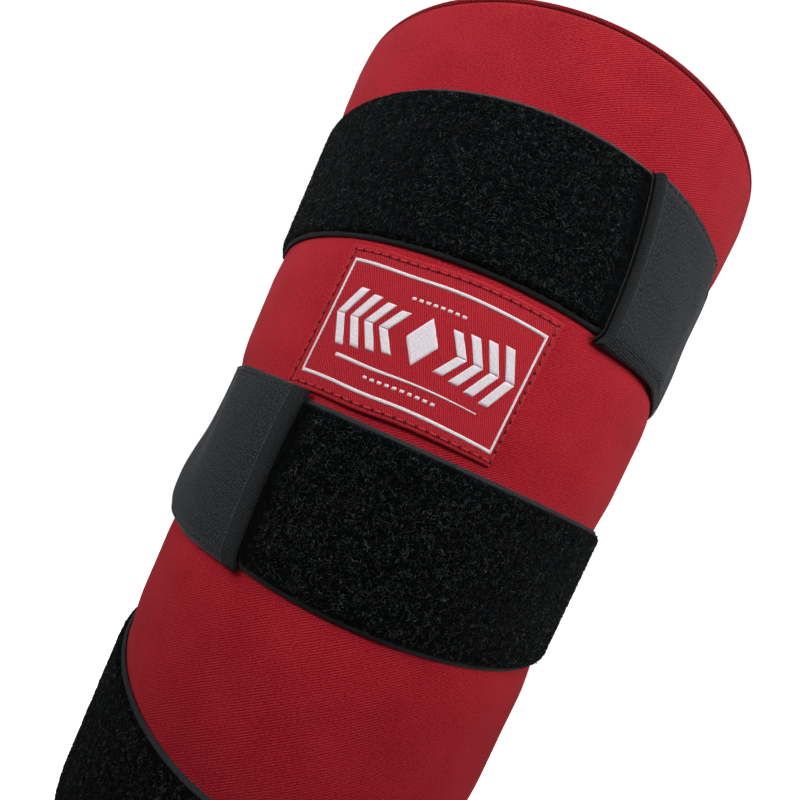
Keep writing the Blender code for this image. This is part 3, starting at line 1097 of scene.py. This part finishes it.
def hook_tape(band, looks, hem_share, whole):
    middle = (band.bottom + band.top) / 2.0
    reach = (HOOK_END - band.end_angle) / whole
    u, v, angle = strap_grid(band, 0.0, reach, 60, 30)
    inset = mix(0.0, TAPE_INSET, smoothstep(0.0, 0.15, u))
    z = strap_height(band, angle * band.side, v, inset)
    away = np.minimum(u * 0.03, edge_share(v) * 0.036)
    droop = HEM_DROOP * edge_droop(band, v)
    thin_end = HOOK_THIN * (1.0 - smoothstep(0.0, 0.12, u))
    top = HOOK_TOP - thin_end - rounded(away, 0.0003, 0.0002) - droop
    inner = PRESSED_PILE + 0.0002 - droop
    piece = strap_slab(f"{band.name}_hook_tape", band, angle, z, top, inner, looks["hook"], middle)
    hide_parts(f"{band.name}_hook_patch")
    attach(piece, f"{band.name}_strap")
    flat = (strap_width(band) - 2.0 * TAPE_INSET, arc_length(HOOK_END - band.end_angle, middle))
    tape_edge_thread(band, looks)
    tape_hooks(band, looks, hem_share, reach)


def tape_edge_thread(band, looks):
    v = mix(0.02, 0.98, SHARES)
    angle = end_angle(band, v) * band.side
    path = (angle, strap_height(band, angle, v), HEM_LOW + 0.00012 - HEM_DROOP * edge_droop(band, v))
    line = stitch_runs(f"{band.name}_tape_edge_thread", [path], looks["pale_thread"], *TAPE_EDGE_STITCH)
    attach(line, f"{band.name}_strap")


def tape_hooks(band, looks, hem_share, reach):
    """Rows of hooks under the tape, every second row set half a step along."""
    u = np.linspace(hem_share * 0.6, reach * 0.97, HOOK_COLUMNS)
    u, v = np.meshgrid(u, np.linspace(0.05, 0.95, HOOK_ROWS))
    half_step = np.where(np.arange(HOOK_ROWS) % 2, 0.5, 0.0)[:, None]
    u = u + half_step * (reach - hem_share) / HOOK_COLUMNS * 0.9
    angle = mix(end_angle(band, v), ROOT_ANGLE, u).ravel() * band.side
    z = strap_height(band, angle, v.ravel(), TAPE_INSET)
    places = on_wall(angle, z, PRESSED_PILE + 0.00016)
    sizes = np.tile(HOOK_SIZE, (len(z), 1))
    upright = np.tile([0.0, 0.0, 1.0], (len(z), 1))
    hooks = scatter(f"{band.name}_hooks", places, -outward(angle), upright, sizes, looks["hook"])
    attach(hooks, f"{band.name}_strap")


def strap_stitches(band, looks, hem_share):
    inset = STRAP_STITCH_INSET / strap_width(band)

    def line(share, v, lift):
        """A line on the strap: share runs from its end to its root, and v up its width."""
        angle = mix(end_angle(band, v), ROOT_ANGLE, share)
        signed = angle * band.side
        return signed, strap_height(band, signed, v), strap_inner(band, angle, v) + STRAP_THICK + lift

    along = mix(hem_share * 1.2, 0.985, SHARES)
    long_lines = [line(along, inset, -0.00010), line(along, 1.0 - inset, -0.00010)]
    across = mix(0.05, 0.95, SHARES)
    fold = [line(hem_share * 1.02, across, 0.00004)]
    root_lines = [line(0.975, across, -0.00006), line(0.90, across, -0.00006)]
    dark = looks["dark_thread"]
    edges = stitch_runs(f"{band.name}_strap_stitches", long_lines, dark, *STRAP_STITCH)
    bend_with_strap(edges)
    crease = stitch_runs(f"{band.name}_hem_stitches", fold, looks["grey_thread"], *CREASE_STITCH)
    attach(crease, f"{band.name}_strap")
    root = stitch_runs(f"{band.name}_root_stitches", root_lines, dark, *ROOT_STITCH)
    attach(root, "sleeve")


# Label. A place on it is (arc length from the middle of the closure side, height).

LABEL_LIFT = 0.0007
LABEL_THICK = 0.0005
BORDER_WIDTH = 0.0008
BORDER_SIDE_WIDTH = 0.00055
MOTIF_FOOT = -0.0001
MOTIF_TOP = 0.00022
MOTIF_EDGE = 0.00022
MOTIF_UP = 0.0010
DIAMOND_TALL = 0.0056
DIAMOND_WIDE = 0.0036
CHEVRONS = 4
CHEVRON_TIP = 0.0078
CHEVRON_STEP = 0.0037
CHEVRON_LEAN = 0.0032
CHEVRON_REACH = 0.0050
CHEVRON_GROWTH = 0.0006
CHEVRON_THICK = 0.0022
RULE_UP = -0.0080
RULE_HALF = 0.0165
DASH_PITCH = 0.0017
DASH_HALF = 0.0005
DASH_WIDTH = 0.0007


def patch_size(corners):
    corners = np.array(corners)
    lower_left, lower_right, upper_right, upper_left = corners
    wide = np.linalg.norm(lower_right + upper_right - lower_left - upper_left) / 2.0
    tall = np.linalg.norm(upper_left + upper_right - lower_left - lower_right) / 2.0
    return wide, tall


def between(corners, u, v):
    """The place at shares (u, v) of a four-cornered area, whose corners run round from the lower left."""
    c = np.array(corners)
    u, v = np.asarray(u)[..., None], np.asarray(v)[..., None]
    return mix(mix(c[0], c[1], u), mix(c[3], c[2], u), v)


def spot(a, b):
    """The place on the label a across and b up from the middle of its border."""
    wide, tall = patch_size(BORDER_CORNERS)
    return between(BORDER_CORNERS, 0.5 + a / wide, 0.5 + b / tall)


def label_lift(place):
    """The label's height off the cloth: its lower edge stands away a little, most in the middle."""
    wide, tall = patch_size(LABEL_CORNERS)
    low = np.mean(LABEL_CORNERS, axis=0) - (0.0, tall / 2.0)
    across = (place[..., 0] - low[0]) / wide
    up = (place[..., 1] - low[1]) / tall
    return LABEL_LIFT + 0.0003 * np.cos(math.pi * across) * (1.0 - smoothstep(0.0, 0.5, up))


def label_angle(arc):
    return np.degrees(arc / radius(np.mean(LABEL_CORNERS, axis=0)[1]))


def label_height(place):
    """The height of a place, with the slight sag of the whole label left of its middle."""
    return place[..., 1] - 0.0005 * np.exp(-(((place[..., 0] + 0.015) / 0.008) ** 2))


def label_on_wall(place, lift):
    """A place on the label as an angle, a height and an offset from the sleeve."""
    return label_angle(place[..., 0]), label_height(place), label_lift(place) + lift


def woven_patch(corners, columns, rows, low=MOTIF_FOOT, high=MOTIF_TOP, rib=0.0, edge=MOTIF_EDGE):
    """Outer and inner grids of a four-cornered woven patch on the label, and their places."""
    u, v = uv_grid(columns, rows)
    place = between(corners, u, v)
    c = np.array(corners)
    away = edge_distance(u, v, np.linalg.norm(c[1] - c[0]), np.linalg.norm(c[3] - c[0]))
    slope = math.radians(RIB_SLOPE)
    across = place[..., 0] * math.cos(slope) + place[..., 1] * math.sin(slope)
    relief = high + rib * np.sin(2.0 * math.pi * across / RIB_PITCH) - rounded(away, edge, (high - low) * 0.7)
    return on_wall(*label_on_wall(place, relief)), on_wall(*label_on_wall(place, low)), place


def join_slabs(name, parts, look):
    """Several slabs as one mesh."""
    points, faces, uvs, first = [], [], [], 0
    for outer, inner, place in parts:
        made = slab("part", outer, inner, place, look)
        mesh = made.data
        points.append(np.array([v.co for v in mesh.vertices]))
        faces.append(np.array([p.vertices for p in mesh.polygons]) + first)
        uvs.append(np.concatenate([place.reshape(-1, 2)] * 2))
        first += len(points[-1])
        bpy.data.objects.remove(made)
        bpy.data.meshes.remove(mesh)
    return new_mesh(name, np.concatenate(points), faces, look, np.concatenate(uvs))


def strip_on_label(start, end, width, slices, high=MOTIF_TOP, end_width=None):
    """A straight satin-stitched strip between two places, which may taper."""
    s, e = np.array(start), np.array(end)
    side = np.array([-(e - s)[1], (e - s)[0]])
    side = side / np.linalg.norm(side) / 2.0
    near = side * width
    far = side * (width if end_width is None else end_width)
    return woven_patch([s - near, e - far, e + far, s + near], slices, 6, high=high)


def label_border():
    corners = [np.array(c) for c in BORDER_CORNERS]
    parts = []
    for i in range(4):
        start, end = corners[i], corners[(i + 1) % 4]
        run = (end - start) / np.linalg.norm(end - start) * BORDER_SIDE_WIDTH / 2.0
        parts.append(strip_on_label(start - run, end + run, (BORDER_WIDTH, BORDER_SIDE_WIDTH)[i % 2], 60))
    return parts


def chevron(side, tip, reach):
    """The two arms of an arrow head that points sideways from the middle of the label."""
    parts = []
    foot = tip - CHEVRON_LEAN
    for up in (-1.0, 1.0):
        corners = [
            spot(side * foot, MOTIF_UP + up * reach),
            spot(side * (foot + CHEVRON_THICK), MOTIF_UP + up * reach),
            spot(side * (tip + CHEVRON_THICK), MOTIF_UP),
            spot(side * tip, MOTIF_UP),
        ]
        parts.append(woven_patch(corners if side * up < 0 else corners[::-1], 12, 16))
    return parts


def diamond(tall, wide):
    places = ((0.0, -tall), (wide, 0.0), (0.0, tall), (-wide, 0.0))
    corners = [spot(a, MOTIF_UP + b) for a, b in places]
    return woven_patch(corners, 18, 18, high=0.00024, edge=0.0003)


def dashes(up, half):
    count = round(2.0 * half / DASH_PITCH)
    parts = []
    for i in range(count):
        a = mix(-half, half, (i + 0.5) / count)
        start, end = spot(a - DASH_HALF, up), spot(a + DASH_HALF, up)
        parts.append(strip_on_label(start, end, DASH_WIDTH, 5, 0.00016))
    return parts


def label_motif():
    """A plain device with no lettering: a diamond, chevrons, a tapering rule and two dashed lines."""
    parts = [diamond(DIAMOND_TALL, DIAMOND_WIDE)]
    for side in (-1.0, 1.0):
        for step in range(CHEVRONS):
            tip, reach = CHEVRON_TIP + CHEVRON_STEP * step, CHEVRON_REACH + CHEVRON_GROWTH * step
            parts += chevron(side, tip, reach)
    rule = (spot(-RULE_HALF, RULE_UP), spot(RULE_HALF, RULE_UP))
    parts.append(strip_on_label(*rule, 0.0009, 40, 0.0002, 0.0003))
    return parts + dashes(0.0092, 0.0064) + dashes(-0.0102, 0.0085)


def label(looks):
    outer, inner, place = woven_patch(LABEL_CORNERS, 480, 150, -LABEL_THICK, 0.0, 0.00005, 0.0004)
    cloth = slab("label_cloth", outer, inner, place, looks["label"])
    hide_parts("woven_label")
    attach(cloth, "sleeve")
    for name, parts in (("label_border", label_border()), ("label_motif", label_motif())):
        piece = join_slabs(name, parts, looks["white"])
        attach(piece, "sleeve")
    paths = []
    for start, end in zip(STITCH_CORNERS, STITCH_CORNERS[1:] + STITCH_CORNERS[:1]):
        place = np.stack([mix(start[0], end[0], SHARES), mix(start[1], end[1], SHARES)], axis=-1)
        paths.append(label_on_wall(place, 0.00008))
    threads = stitch_runs("label_stitches", paths, looks["red_thread"], *LABEL_STITCH)
    marks = holes_between("label_needle_holes", paths, looks["hole"], LABEL_STITCH[0], NEEDLE_HOLE)
    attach(threads, "sleeve")
    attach(marks, "sleeve")


def dress_inner_nodes(looks):
    """The foam pieces keep their CAD shape and get a foam look."""
    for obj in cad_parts.values():
        if not obj.hide_render:
            obj.data.materials.clear()
            obj.data.materials.append(looks["foam"])


def main():
    rng = np.random.default_rng(7)
    looks = make_looks()
    add_camera()
    add_studio()
    rear_panel(looks)
    front_panel(looks)
    channel_stitches(looks)
    seam_stitches(looks)
    end_ring("wrist_edge_tape", "wrist_binding", 0.0, -1, looks)
    end_ring("elbow_edge_tape", "elbow_binding", LENGTH, 1, looks)
    liner(looks)
    for band in BANDS:
        loop_band(band, looks, rng)
        strap(band, looks)
    label(looks)
    dress_inner_nodes(looks)


main()
